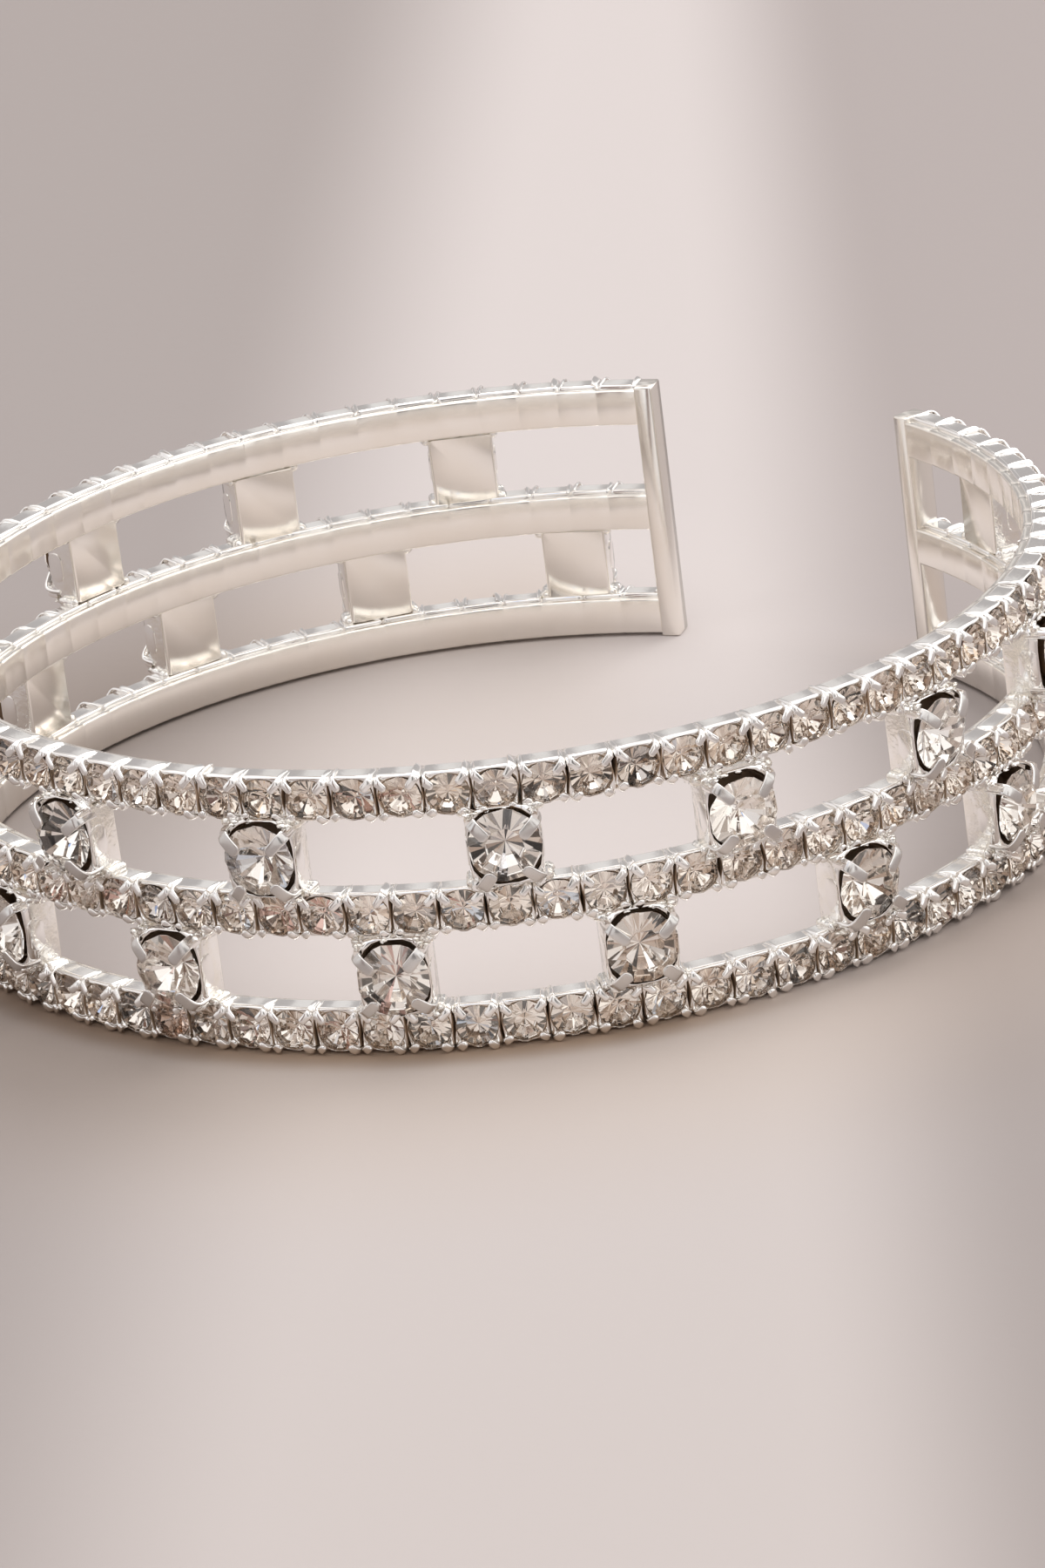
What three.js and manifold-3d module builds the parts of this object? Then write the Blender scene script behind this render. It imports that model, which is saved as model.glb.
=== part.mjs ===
/*
 * Rhinestone cuff bracelet, an open bangle that springs round the wrist.
 *
 * Three rows of small claw-set stones run round an oval. Between the rows sit larger stones in square
 * four-claw cups, staggered like bricks, and a plain bar closes each end. All the metal is soldered
 * into one frame, so the frame is one solid with the small stones in it, and each large stone is a
 * solid of its own. Millimetres, +Z up. The cuff stands on its lower edge at z = 0, its opening
 * faces +Y, and the origin is the middle of its footprint.
 */
import * as THREE from 'three';
import { mergeVertices } from 'three/addons/utils/BufferGeometryUtils.js';
import Module from 'manifold-3d';

const wasm = await Module();
wasm.setup();

// The oval, and the rows that follow it.
const ovalHalfWidth = 30.9; // from the axis to the front edges of the cups, along X
const ovalHalfDepth = 30.4; // the same along Y
const smallPitch = 2.4; // from one small stone to the next
const smallPerRow = 72;
const rowCount = 3;
const rowSpacing = 6.25; // from the middle of one row to the middle of the next
const rowHeight = 2.45;
const rowDepth = 1.68; // from the inner face of a row to the front edges of its cups

// A small cup: the slit beside it, its round stone and its four claws.
const slitMouth = 0.2;
const slitDepth = 1.05;
const smallSides = 6;
const smallGirdle = 1.1; // radius of the stone's widest line
const smallCrown = 0.38; // how far the stone rises above the cup's edge
const clawLean = 0.68; // how far out a claw's tip stays, as a share of the way to the cup's corner
const clawRise = 0.48;
const cupsPerInnerFacet = 2;

// A large cup and its stone. Every height here is measured outward from the oval's line.
const largeEvery = 5; // small stones from one large stone to the next
const largePerGap = 14;
const firstUpper = 4.5; // small stones from the left end to the first large stone of the upper gap
const firstLower = 2.0;
const largeRise = 0.12; // how far a large stone sits above the middle of its gap
const largeSides = 8;
const largeGirdle = 1.8;
const largeGirdleHeight = 1.25;
const largeTable = 1.0;
const largeTableHeight = 1.67;
const largePointHeight = 0;
const cupHalfWidth = 1.85;
const cupRim = 0.75;
const cupClearance = 0.05; // between a cup's wall and the rows above and below it
const plateBack = -1.45; // the back plate reaches into both rows and is soldered there
const plateFront = -1.15;
const plateHalfWidth = 1.7;
const plateOverlap = 0.1;
const pocketHalfWidth = 1.5;
const pocketPoint = -0.4;

// One claw of a large cup: a corner leg that ends in a tip bent over the stone.
const legSide = 0.5;
const legShoulder = 1.5;
const legTop = 1.85;
const tipHeight = 1.9;
const tipNear = 0.7; // the two ends of a tip, from the stone's axis, one way and the other
const tipFar = 1.14;

// The plain bar at each end.
const barWidth = 1.1;
const barOverlap = 0.3;
const barInner = -1.6;
const barOuter = -0.1;

const quarterTurn = Math.PI / 2;
const rowGap = rowSpacing - rowHeight;
const cuffHeight = rowSpacing * (rowCount - 1) + rowHeight;

const silver = new THREE.MeshStandardMaterial({ color: 0xe9e4df, roughness: 0.16, metalness: 1 });
const crystal = new THREE.MeshStandardMaterial({ color: 0xd9d0c6, roughness: 0.04, metalness: 0 });

const oval = new THREE.EllipseCurve(0, 0, ovalHalfWidth, ovalHalfDepth, -quarterTurn, 3 * quarterTurn);
oval.arcLengthDivisions = 2400;
const ovalLength = oval.getLength();

/** A point on the oval, so many small stones round from the left end, with its two directions. */
function station(stones) {
  const fromFront = (stones - smallPerRow / 2) * smallPitch;
  const share = (fromFront / ovalLength + 1) % 1;
  const point = oval.getPointAt(share);
  const along = oval.getTangentAt(share);
  const outward = new THREE.Vector2(along.y, -along.x);
  return { point, along, outward };
}

/** A closed surface built up from corners and flat faces, each face given counter-clockwise. */
class Shell {
  corners = [];
  faces = [];

  corner(x, y, z) {
    this.corners.push(x, y, z);
    return this.corners.length / 3 - 1;
  }

  face(...around) {
    for (let i = 2; i < around.length; i += 1) {
      this.faces.push(around[0], around[i - 1], around[i]);
    }
  }

  geometry() {
    const geometry = new THREE.BufferGeometry();
    geometry.setAttribute('position', new THREE.Float32BufferAttribute(this.corners, 3));
    geometry.setIndex(this.faces);
    return geometry;
  }
}

/**
 * Fills the front of a small cup with its stone and four claws. The cup's corners run
 * counter-clockwise from the upper right one, and `at` turns a place on the cup into a corner.
 */
function addSmallStone(shell, at, cupCorners, halfWidth, halfHeight) {
  const girdle = [];
  for (let i = 0; i < smallSides; i += 1) {
    const angle = 2 * Math.PI * (i / smallSides);
    girdle.push(at(smallGirdle * Math.cos(angle), smallGirdle * Math.sin(angle), 0));
  }
  const top = at(0, 0, smallCrown);
  for (let i = 0; i < smallSides; i += 1) {
    shell.face(girdle[i], girdle[(i + 1) % smallSides], top);
  }

  const claw = (corner, near, far, right, up) => {
    const tip = at(right * halfWidth * clawLean, up * halfHeight * clawLean, clawRise);
    shell.face(corner, far, tip);
    shell.face(far, near, tip);
    shell.face(near, corner, tip);
  };
  const [upperRight, upperLeft, lowerLeft, lowerRight] = cupCorners;
  claw(upperRight, girdle[0], girdle[1], 1, 1);
  claw(upperLeft, girdle[2], girdle[3], -1, 1);
  claw(lowerLeft, girdle[3], girdle[4], -1, -1);
  claw(lowerRight, girdle[5], girdle[0], 1, -1);
  shell.face(upperRight, upperLeft, girdle[2], girdle[1]);
  shell.face(upperLeft, lowerLeft, girdle[3]);
  shell.face(lowerLeft, lowerRight, girdle[5], girdle[4]);
  shell.face(lowerRight, upperRight, girdle[0]);
}

/** One row: a band that is smooth inside, cut into cups outside, with a stone in every cup. */
function rowGeometry(middle) {
  const shell = new Shell();
  const bottom = middle - rowHeight / 2;
  const top = middle + rowHeight / 2;
  const halfWidth = (smallPitch - slitMouth) / 2;

  // A post is a pair of corners, one on the lower face and one on the upper.
  const post = (place, across, out) => {
    const x = place.point.x + place.along.x * across + place.outward.x * out;
    const y = place.point.y + place.along.y * across + place.outward.y * out;
    return { x, y, low: shell.corner(x, y, bottom), high: shell.corner(x, y, top) };
  };
  const wall = (from, to) => shell.face(from.low, to.low, to.high, from.high);

  let slit = post(station(0), 0, -slitDepth);
  let inner = post(station(0), 0, -rowDepth);
  wall(inner, slit);
  for (let first = 0; first < smallPerRow; first += cupsPerInnerFacet) {
    const outline = [inner, slit];
    for (let cup = first; cup < first + cupsPerInnerFacet; cup += 1) {
      const place = station(cup + 0.5);
      const left = post(place, -halfWidth, 0);
      const right = post(place, halfWidth, 0);
      const next = post(station(cup + 1), 0, -slitDepth);
      wall(slit, left);
      wall(right, next);
      const at = (across, up, out) => shell.corner(
        place.point.x + place.along.x * across + place.outward.x * out,
        place.point.y + place.along.y * across + place.outward.y * out,
        middle + up,
      );
      const cupCorners = [right.high, left.high, left.low, right.low];
      addSmallStone(shell, at, cupCorners, halfWidth, rowHeight / 2);
      outline.push(left, right, next);
      slit = next;
    }
    const nextInner = post(station(first + cupsPerInnerFacet), 0, -rowDepth);
    wall(nextInner, inner);
    outline.push(nextInner);
    const flat = outline.map((corner) => new THREE.Vector2(corner.x, corner.y));
    for (const [a, b, c] of THREE.ShapeUtils.triangulateShape(flat, [])) {
      shell.face(outline[a].high, outline[b].high, outline[c].high);
      shell.face(outline[a].low, outline[c].low, outline[b].low);
    }
    inner = nextInner;
  }
  wall(slit, inner);
  return shell.geometry();
}

/** Joins each side of one outline to the same side of the next, both counter-clockwise. */
function addWalls(shell, from, to) {
  for (let i = 0; i < from.length; i += 1) {
    const j = (i + 1) % from.length;
    shell.face(from[i], from[j], to[j], to[i]);
  }
}

/** The four corners of a rectangle that faces outward, counter-clockwise from the lower left. */
function addRectangle(shell, left, right, low, high, out) {
  return [[left, low], [right, low], [right, high], [left, high]]
    .map(([across, up]) => shell.corner(across, -out, up));
}

/** The corners of one leg of a large cup, on the sides of the outline before and after it. */
function addLeg(shell, right, up, wallHalf) {
  const raise = (across, rise, out) => shell.corner(right * across, -out, rise);
  const edge = (across, rise, tipAcross, tipUp) => ({
    rim: raise(across, up * rise, cupRim),
    shoulder: raise(across, up * rise, legShoulder),
    tip: raise(tipAcross, largeRise + up * tipUp, tipHeight),
  });
  const upright = edge(cupHalfWidth, wallHalf - legSide, tipFar, tipNear);
  const level = edge(cupHalfWidth - legSide, wallHalf, tipNear, tipFar);
  const [before, after] = right * up > 0 ? [upright, level] : [level, upright];
  return { before, after, top: raise(cupHalfWidth, up * wallHalf, legTop) };
}

/**
 * One large cup: a back plate that is soldered into both rows, walls between them with a pocket
 * for the stone's point, and a claw on each corner. It is drawn about the middle of its gap.
 */
function largeCup() {
  const shell = new Shell();
  const plateHalf = rowGap / 2 + plateOverlap;
  const wallHalf = rowGap / 2 - cupClearance;
  const wide = cupHalfWidth;
  const back = addRectangle(shell, -plateHalfWidth, plateHalfWidth, -plateHalf, plateHalf, plateBack);
  const plate = addRectangle(shell, -plateHalfWidth, plateHalfWidth, -plateHalf, plateHalf, plateFront);
  const foot = addRectangle(shell, -wide, wide, -wallHalf, wallHalf, plateFront);
  shell.face(...[...back].reverse());
  addWalls(shell, back, plate);
  addWalls(shell, plate, foot);

  const half = pocketHalfWidth;
  const mouth = addRectangle(shell, -half, half, largeRise - half, largeRise + half, cupRim);
  const point = shell.corner(0, -pocketPoint, largeRise);
  const legs = [[-1, -1], [1, -1], [1, 1], [-1, 1]].map(([right, up]) => addLeg(shell, right, up, wallHalf));
  legs.forEach(({ before, after, top }, i) => {
    const j = (i + 1) % legs.length;
    const next = legs[j];
    // The wall between two legs, and the outer faces of the legs in the same plane.
    shell.face(foot[i], foot[j], next.before.rim, after.rim);
    shell.face(foot[j], next.top, next.before.shoulder, next.before.rim);
    shell.face(foot[i], after.rim, after.shoulder, top);
    // The rim and the pocket.
    shell.face(after.rim, next.before.rim, mouth[j], mouth[i]);
    shell.face(before.rim, after.rim, mouth[i]);
    shell.face(mouth[i], mouth[j], point);
    // The inner face of the leg, and its tip from below and above.
    shell.face(after.rim, before.rim, before.shoulder, after.shoulder);
    shell.face(after.shoulder, before.shoulder, before.tip, after.tip);
    shell.face(before.shoulder, top, before.tip);
    shell.face(top, after.tip, before.tip);
    shell.face(top, after.shoulder, after.tip);
  });
  return shell.geometry();
}

/** The plain bar that closes one end, with its overlap on the side where the rows are. */
function endBar(rowsAt) {
  const shell = new Shell();
  const outer = -rowsAt * barWidth;
  const inner = rowsAt * barOverlap;
  const left = Math.min(outer, inner);
  const right = Math.max(outer, inner);
  const back = addRectangle(shell, left, right, 0, cuffHeight, barInner);
  const front = addRectangle(shell, left, right, 0, cuffHeight, barOuter);
  shell.face(...[...back].reverse());
  addWalls(shell, back, front);
  shell.face(...front);
  return shell.geometry();
}

/** Turns and moves a thing so that its +X runs along the oval and its -Y points outward. */
function placeOnOval(object, stones, height) {
  const { point, along } = station(stones);
  object.position.set(point.x, point.y, height);
  object.rotation.z = Math.atan2(along.y, along.x);
  object.updateMatrix();
  return object;
}

function toSolid(geometry) {
  const bare = geometry.clone();
  bare.deleteAttribute('normal');
  bare.deleteAttribute('uv');
  const merged = mergeVertices(bare, 1e-5);
  return new wasm.Manifold(new wasm.Mesh({
    numProp: 3,
    vertProperties: new Float32Array(merged.attributes.position.array),
    triVerts: new Uint32Array(merged.index.array),
  }));
}

function fromSolid(solid) {
  const mesh = solid.getMesh();
  const geometry = new THREE.BufferGeometry();
  geometry.setAttribute('position', new THREE.BufferAttribute(new Float32Array(mesh.vertProperties), 3));
  geometry.setIndex(new THREE.BufferAttribute(new Uint32Array(mesh.triVerts), 1));
  geometry.computeVertexNormals();
  return geometry;
}

/** Where the large stones of one gap stand: so many small stones round, at one height. */
function largePlaces(first, height) {
  const places = [];
  for (let i = 0; i < largePerGap; i += 1) {
    places.push({ stones: first + largeEvery * i, height });
  }
  return places;
}

const lowerGapHeight = (rowHeight + rowSpacing) / 2;
const upperPlaces = largePlaces(firstUpper, lowerGapHeight + rowSpacing);
const lowerPlaces = largePlaces(firstLower, lowerGapHeight);

/** The soldered frame: rows, large cups with their claws, and end bars, joined into one solid. */
function cuffFrame() {
  const placed = (geometry, stones, height) => {
    const carrier = placeOnOval(new THREE.Object3D(), stones, height);
    return toSolid(geometry.clone().applyMatrix4(carrier.matrix));
  };

  let frame = toSolid(rowGeometry(rowHeight / 2));
  for (let row = 1; row < rowCount; row += 1) {
    frame = frame.add(toSolid(rowGeometry(rowHeight / 2 + rowSpacing * row)));
  }
  const cup = largeCup();
  for (const { stones, height } of [...upperPlaces, ...lowerPlaces]) {
    frame = frame.add(placed(cup, stones, height));
  }
  frame = frame.add(placed(endBar(1), 0, 0));
  frame = frame.add(placed(endBar(-1), smallPerRow, 0));
  const mesh = new THREE.Mesh(fromSolid(frame), silver);
  mesh.name = 'cuff_frame';
  return mesh;
}

/** A large brilliant: a flat table, a sloping crown and a point at the back. */
function largeStoneGeometry() {
  const profile = [
    new THREE.Vector2(0, largePointHeight),
    new THREE.Vector2(largeGirdle, largeGirdleHeight),
    new THREE.Vector2(largeTable, largeTableHeight),
    new THREE.Vector2(0, largeTableHeight),
  ];
  return new THREE.LatheGeometry(profile, largeSides, Math.PI / largeSides).rotateX(2 * quarterTurn);
}

function largeStones(prefix, places) {
  const group = new THREE.Group();
  const geometry = largeStoneGeometry();
  places.forEach(({ stones, height }, i) => {
    const mesh = new THREE.Mesh(geometry, crystal);
    mesh.name = `${prefix}_${String(i + 1).padStart(2, '0')}`;
    group.add(placeOnOval(mesh, stones, height + largeRise));
  });
  return group;
}

const bracelet = new THREE.Group();
bracelet.name = 'rhinestone_bracelet';
bracelet.add(cuffFrame());
bracelet.add(largeStones('upper_stone', upperPlaces));
bracelet.add(largeStones('lower_stone', lowerPlaces));

// The opening leaves the oval's middle off the middle of the footprint, where the origin goes.
const footprintMiddle = new THREE.Box3().setFromObject(bracelet, true).getCenter(new THREE.Vector3());
bracelet.position.set(-footprintMiddle.x, -footprintMiddle.y, 0);

export default bracelet;
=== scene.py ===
# %% [markdown]
# # A rhinestone cuff bracelet
# The real bracelet is cup chain: little square silver cups, each with a pointed glass stone held down
# by four claws. Three rows of it run round an oval and are soldered together by larger cups of the
# same make. Nothing on it moves. Here each of those jewellery parts is made once as a small list of
# corners and faces, and then copied along the oval, because that is how the chain itself is made:
# one stamped shape, repeated.
#
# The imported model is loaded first. It fixes where everything is, so it's never moved.

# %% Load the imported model
import math
import random

import bpy
import numpy as np
from mathutils import Matrix, Vector


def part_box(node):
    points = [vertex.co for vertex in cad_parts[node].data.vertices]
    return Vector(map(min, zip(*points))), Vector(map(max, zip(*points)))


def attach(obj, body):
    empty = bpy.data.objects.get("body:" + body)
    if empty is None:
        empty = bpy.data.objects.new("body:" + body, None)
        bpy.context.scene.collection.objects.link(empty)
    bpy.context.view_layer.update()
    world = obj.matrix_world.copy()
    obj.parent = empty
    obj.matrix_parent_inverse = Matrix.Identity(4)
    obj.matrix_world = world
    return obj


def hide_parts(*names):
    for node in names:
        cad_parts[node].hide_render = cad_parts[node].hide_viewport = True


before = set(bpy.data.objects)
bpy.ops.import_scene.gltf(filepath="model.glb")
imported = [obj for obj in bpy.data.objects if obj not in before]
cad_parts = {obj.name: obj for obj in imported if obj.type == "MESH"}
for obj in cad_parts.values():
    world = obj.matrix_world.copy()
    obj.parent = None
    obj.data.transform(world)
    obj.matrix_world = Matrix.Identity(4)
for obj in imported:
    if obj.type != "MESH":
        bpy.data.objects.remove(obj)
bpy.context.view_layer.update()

MM = 0.001

# %% [markdown]
# ## The oval
# A cup is placed by how many stones round the row it is, not by an angle, because the cups touch and
# so sit at equal steps along the curve. An ellipse has no formula for that, so its length is added up
# in short steps and looked up backwards.

# %% Steps round the oval
OVAL_HALF_WIDTH = 30.9
OVAL_HALF_DEPTH = 30.4
PITCH = 2.4
STONES_PER_ROW = 72

turn = np.linspace(0, 2 * math.pi, 7201)
oval_x = OVAL_HALF_WIDTH * np.sin(turn)
oval_y = -OVAL_HALF_DEPTH * np.cos(turn)
run = np.concatenate([[0], np.cumsum(np.hypot(np.diff(oval_x), np.diff(oval_y)))])


def station(stones):
    """Where a place so many stones from the left end is, with its two directions, in millimetres."""
    length = ((stones - STONES_PER_ROW / 2) * PITCH) % run[-1]
    angle = np.interp(length, run, turn)
    along = np.array([OVAL_HALF_WIDTH * math.cos(angle), OVAL_HALF_DEPTH * math.sin(angle), 0])
    along /= np.linalg.norm(along)
    point = np.array([OVAL_HALF_WIDTH * math.sin(angle), -OVAL_HALF_DEPTH * math.cos(angle), 0])
    return point, along, np.array([along[1], -along[0], 0])


print("once round the oval:", round(run[-1], 2), "mm")

# %% [markdown]
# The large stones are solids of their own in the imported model, so their boxes say where the oval's
# middle lies in the shared frame. The boxes of all of them together average out the small errors
# that each turned stone's box has.

# %% Find the oval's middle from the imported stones
LARGE_EVERY = 5
LARGE_PER_GAP = 14
FIRST_LARGE = {"upper": 4.5, "lower": 2.0}
LARGE_MIDDLE_OUT = 0.84


large_stations = {
    f"{gap}_stone_{index + 1:02d}": FIRST_LARGE[gap] + LARGE_EVERY * index
    for gap in FIRST_LARGE
    for index in range(LARGE_PER_GAP)
}


def gap_of(name):
    """The gap between rows that a large stone sits in, upper or lower."""
    return name.split("_")[0]


offsets, heights = [], {"upper": [], "lower": []}
for name, stones in large_stations.items():
    low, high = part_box(name)
    middle = np.array((low + high) / 2) / MM
    point, along, outward = station(stones)
    offsets.append(middle - point - outward * LARGE_MIDDLE_OUT)
    heights[gap_of(name)].append(middle[2])
oval_middle = np.mean(offsets, axis=0)
oval_middle[2] = 0
large_height = {gap: float(np.mean(values)) for gap, values in heights.items()}
print("the oval's middle, mm:", oval_middle.round(3), "large stones stand at", large_height)

# %% [markdown]
# ## The camera
# A long lens from a bit over forty centimetres, looking down on the front of the cuff and slightly
# rolled, so that the rows climb to the right. The two ends of the cuff show behind the front.

# %% Camera
# Angles in degrees. The distance, the lens and the point it looks at, from the oval's middle, in mm.
CAMERA_AZIMUTH = 38.97
CAMERA_ELEVATION = 20.61
CAMERA_ROLL = -7.18
CAMERA_DISTANCE = 412.96
LENS = 183.29
LOOKS_AT = np.array([9.602, -10.238, 7.575])


def towards(azimuth, elevation):
    """A direction, where azimuth 0 is -Y and 90 is +X, both in degrees."""
    a, e = math.radians(azimuth), math.radians(elevation)
    return Vector((math.sin(a) * math.cos(e), -math.cos(a) * math.cos(e), math.sin(e)))


back = towards(CAMERA_AZIMUTH, CAMERA_ELEVATION)
level = (-back).cross(Vector((0, 0, 1))).normalized()
upright = level.cross(-back)
roll = math.radians(CAMERA_ROLL)
right = math.cos(roll) * level + math.sin(roll) * upright
up = -math.sin(roll) * level + math.cos(roll) * upright

camera_data = bpy.data.cameras.new("camera")
camera_data.lens = LENS
camera_data.sensor_width = 36
camera_data.clip_start = 0.01
camera_data.clip_end = 20
camera = bpy.data.objects.new("camera", camera_data)
bpy.context.scene.collection.objects.link(camera)
stands_at = Vector((oval_middle + LOOKS_AT) * MM) + back * CAMERA_DISTANCE * MM
axes = Matrix((right, up, back)).transposed().to_4x4()
camera.matrix_world = Matrix.Translation(stands_at) @ axes
bpy.context.scene.camera = camera
print("camera at, mm:", [round(c / MM, 1) for c in stands_at])

# %% [markdown]
# ## Helpers for node trees
# Every finish below is a small node tree. The first helper makes a node, sets what it's told and
# links any value that is itself the output of another node. The others are the sums that every tree
# needs: a soft step, a product and a mix of two colours.

# %% Node helpers
def add_node(tree, kind, values=None, **settings):
    """Makes a node. values go to its sockets, as numbers or as links, and settings to the node."""
    node = tree.nodes.new(kind)
    for name, value in settings.items():
        setattr(node, name, value)
    for name, value in (values or {}).items():
        socket = node.inputs[name]
        if isinstance(value, bpy.types.NodeSocket):
            tree.links.new(value, socket)
        else:
            socket.default_value = value
    return node


def smooth_step(tree, value, start, end):
    """0 up to start and 1 from end on, with a soft change between. It falls if start is the larger."""
    steps = {"Value": value, "From Min": start, "From Max": end}
    return add_node(tree, "ShaderNodeMapRange", steps, interpolation_type="SMOOTHSTEP").outputs[0]


def multiply(tree, first, *others):
    """Two or more numbers multiplied together."""
    for other in others:
        first = add_node(tree, "ShaderNodeMath", {0: first, 1: other}, operation="MULTIPLY").outputs[0]
    return first


def mix_colour(tree, share, first, second):
    """The first colour where share is 0, the second where it is 1."""
    values = {0: share, 6: first, 7: second}
    return add_node(tree, "ShaderNodeMix", values, data_type="RGBA").outputs[2]


print("node helpers: add_node, smooth_step, multiply, mix_colour")

# %% [markdown]
# ## The room
# Polished silver and cut glass have almost no colour of their own: they show the room. So the room is
# designed first. It's a warm pale one, with a large window on the right and a softer glow above. A
# few things in it are dark (whoever stands behind the camera, two brown flags, fourteen odd bits of
# furniture), and they give the facets their dark sparks. Straight behind the cuff the paper curves up
# to a backdrop, grey but for the same band of light that lies on the floor, and the flat tops of the
# cups reflect just that.
#
# A picture of a real room would do the same, but nothing in it could be moved. Here every panel is a
# few nodes in the world's tree, laid over the ones before it.

# %% The empty room
world = bpy.data.worlds.new("room")
world.use_nodes = True
room = world.node_tree
room.nodes.clear()
direction = add_node(room, "ShaderNodeTexCoord").outputs["Generated"]
height = add_node(room, "ShaderNodeSeparateXYZ", {0: direction}).outputs["Z"]
no_height = {0: direction, 1: (1, 1, 0)}
flat = add_node(room, "ShaderNodeVectorMath", no_height, operation="MULTIPLY").outputs[0]
bearing = add_node(room, "ShaderNodeVectorMath", {0: flat}, operation="NORMALIZE").outputs[0]

LOW_WALL = (0.72, 0.665, 0.64, 1)
HIGH_WALL = (0.87, 0.835, 0.83, 1)
GLOW_ABOVE = (1.29, 1.26, 1.24, 1)
walls = mix_colour(room, smooth_step(room, height, -0.1, 0.5), LOW_WALL, HIGH_WALL)
look = mix_colour(room, smooth_step(room, height, 0.55, 0.85), walls, GLOW_ABOVE)
print("an empty room has", len(room.nodes), "nodes")


# %% Panels of light and dark
def sine(degrees):
    return math.sin(math.radians(degrees))


def cosine(degrees):
    return math.cos(math.radians(degrees))


def room_panel(under, azimuth, half_width, low, high, colour, soft):
    """Lays an upright panel of light or dark over what is under it. Angles are in degrees."""
    facing = {0: bearing, 1: tuple(towards(azimuth, 0))}
    across = add_node(room, "ShaderNodeVectorMath", facing, operation="DOT_PRODUCT").outputs["Value"]
    inside = smooth_step(room, across, cosine(half_width + soft), cosine(max(half_width - soft, 0)))
    over = smooth_step(room, height, sine(low - soft), sine(low + soft))
    below = smooth_step(room, height, sine(high + soft), sine(high - soft))
    return mix_colour(room, multiply(room, inside, over, below), under, (*colour, 1))


# Each: degrees round from the camera, half width, foot, top, colour, and softness of the edge.
LIGHT_PANELS = {
    "window": (90, 58, 4, 42, (1.22, 1.20, 1.18), 4),
    "window_bar": (90, 3.5, 6, 42, (0.55, 0.50, 0.48), 1),
    "reflector": (-60, 16, 12, 50, (0.95, 0.94, 0.95), 3),
}
FURNITURE = 14
OTHER_PANELS = {
    "backdrop": (180, 36, 7, 34, (0.47, 0.445, 0.44), 3),
    "band_on_backdrop": (180, 2.3, 7, 34, (0.76, 0.735, 0.72), 1.1),
    "behind_camera": (0, 8, 6, 38, (0.15, 0.14, 0.135), 2),
    "left_flag": (-42, 5, 0, 45, (0.16, 0.09, 0.07), 2),
    "right_flag": (46, 4, 3, 30, (0.14, 0.08, 0.07), 2),
    "blue_sky": (-20, 3, 50, 66, (0.35, 0.55, 1.0), 2),
}

for turned_by, *panel in LIGHT_PANELS.values():
    look = room_panel(look, CAMERA_AZIMUTH + turned_by, *panel)
pieces_of_room = random.Random(3)
for step in range(FURNITURE):
    shade = pieces_of_room.uniform(0.34, 0.56)
    at = CAMERA_AZIMUTH + 360 * step / FURNITURE + pieces_of_room.uniform(-8, 8)
    foot = pieces_of_room.uniform(8, 55)
    size = pieces_of_room.uniform(3, 7)
    look = room_panel(look, at, size, foot, foot + 3 * size, (shade, 0.88 * shade, 0.8 * shade), 1.5)
for turned_by, *panel in OTHER_PANELS.values():
    look = room_panel(look, CAMERA_AZIMUTH + turned_by, *panel)

shine = add_node(room, "ShaderNodeBackground", {"Color": look, "Strength": 1.0})
add_node(room, "ShaderNodeOutputWorld", {"Surface": shine.outputs[0]})
bpy.context.scene.world = world
bpy.context.scene.view_settings.view_transform = "Standard"
# Light crosses a foiled stone many times before it leaves, so the paths must be allowed to be long.
bpy.context.scene.cycles.max_bounces = 24
bpy.context.scene.cycles.glossy_bounces = 16
bpy.context.scene.cycles.transmission_bounces = 16
print("the furnished room has", len(room.nodes), "nodes")

# %% [markdown]
# ## The paper
# The cuff stands on smooth pale paper, with a soft band of window light across it. A lamp behind a
# slit could throw such a band, but it would shift with every change to the lamp. So the band is drawn
# in the paper's colour, between two straight soft edges that draw apart towards the camera, and it
# fades a little on the way.

# %% The sheet
FLOOR_HALF = 4.0
floor_mesh = bpy.data.meshes.new("paper_floor")
corners = [(x * FLOOR_HALF, y * FLOOR_HALF, 0) for x, y in ((-1, -1), (1, -1), (1, 1), (-1, 1))]
floor_mesh.from_pydata(corners, [], [(0, 1, 2, 3)])
floor = bpy.data.objects.new("paper_floor", floor_mesh)
bpy.context.scene.collection.objects.link(floor)

paper = bpy.data.materials.new("pale_paper")
paper.use_nodes = True
tree = paper.node_tree
tree.nodes.clear()
floor_mesh.materials.append(paper)
print("paper laid, metres across:", 2 * FLOOR_HALF)

# %% The band of window light
SHADED_PAPER = (0.365, 0.323, 0.311, 1)
NEAR_PAPER = (0.565, 0.514, 0.497, 1)
FAR_PAPER = (0.630, 0.578, 0.566, 1)
# Each edge in millimetres: how far right of the oval's middle it passes, and its softness.
# Its lean is how far it drifts right for each millimetre away from the camera.
LEFT_EDGE = {"offset": -14.9, "lean": 0.102, "soft": 9.5}
RIGHT_EDGE = {"offset": 18.9, "lean": 0.0335, "soft": 6.5}
place = add_node(tree, "ShaderNodeTexCoord").outputs["Object"]
away = Vector((0, 0, 1)).cross(level)


def distance_along(direction):
    """Millimetres from the oval's middle in a direction on the floor, as a node's output."""
    shift = -float(Vector(oval_middle).dot(direction))
    values = {0: place, 1: tuple(direction / MM)}
    reach = add_node(tree, "ShaderNodeVectorMath", values, operation="DOT_PRODUCT").outputs["Value"]
    return add_node(tree, "ShaderNodeMath", {0: reach, 1: shift}, operation="ADD").outputs[0]


def beyond(edge, sign):
    """1 on the right of an edge, or on its left for a sign of -1."""
    across = distance_along(level - edge["lean"] * away)
    soft = sign * edge["soft"]
    return smooth_step(tree, across, edge["offset"] - soft, edge["offset"] + soft)


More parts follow.
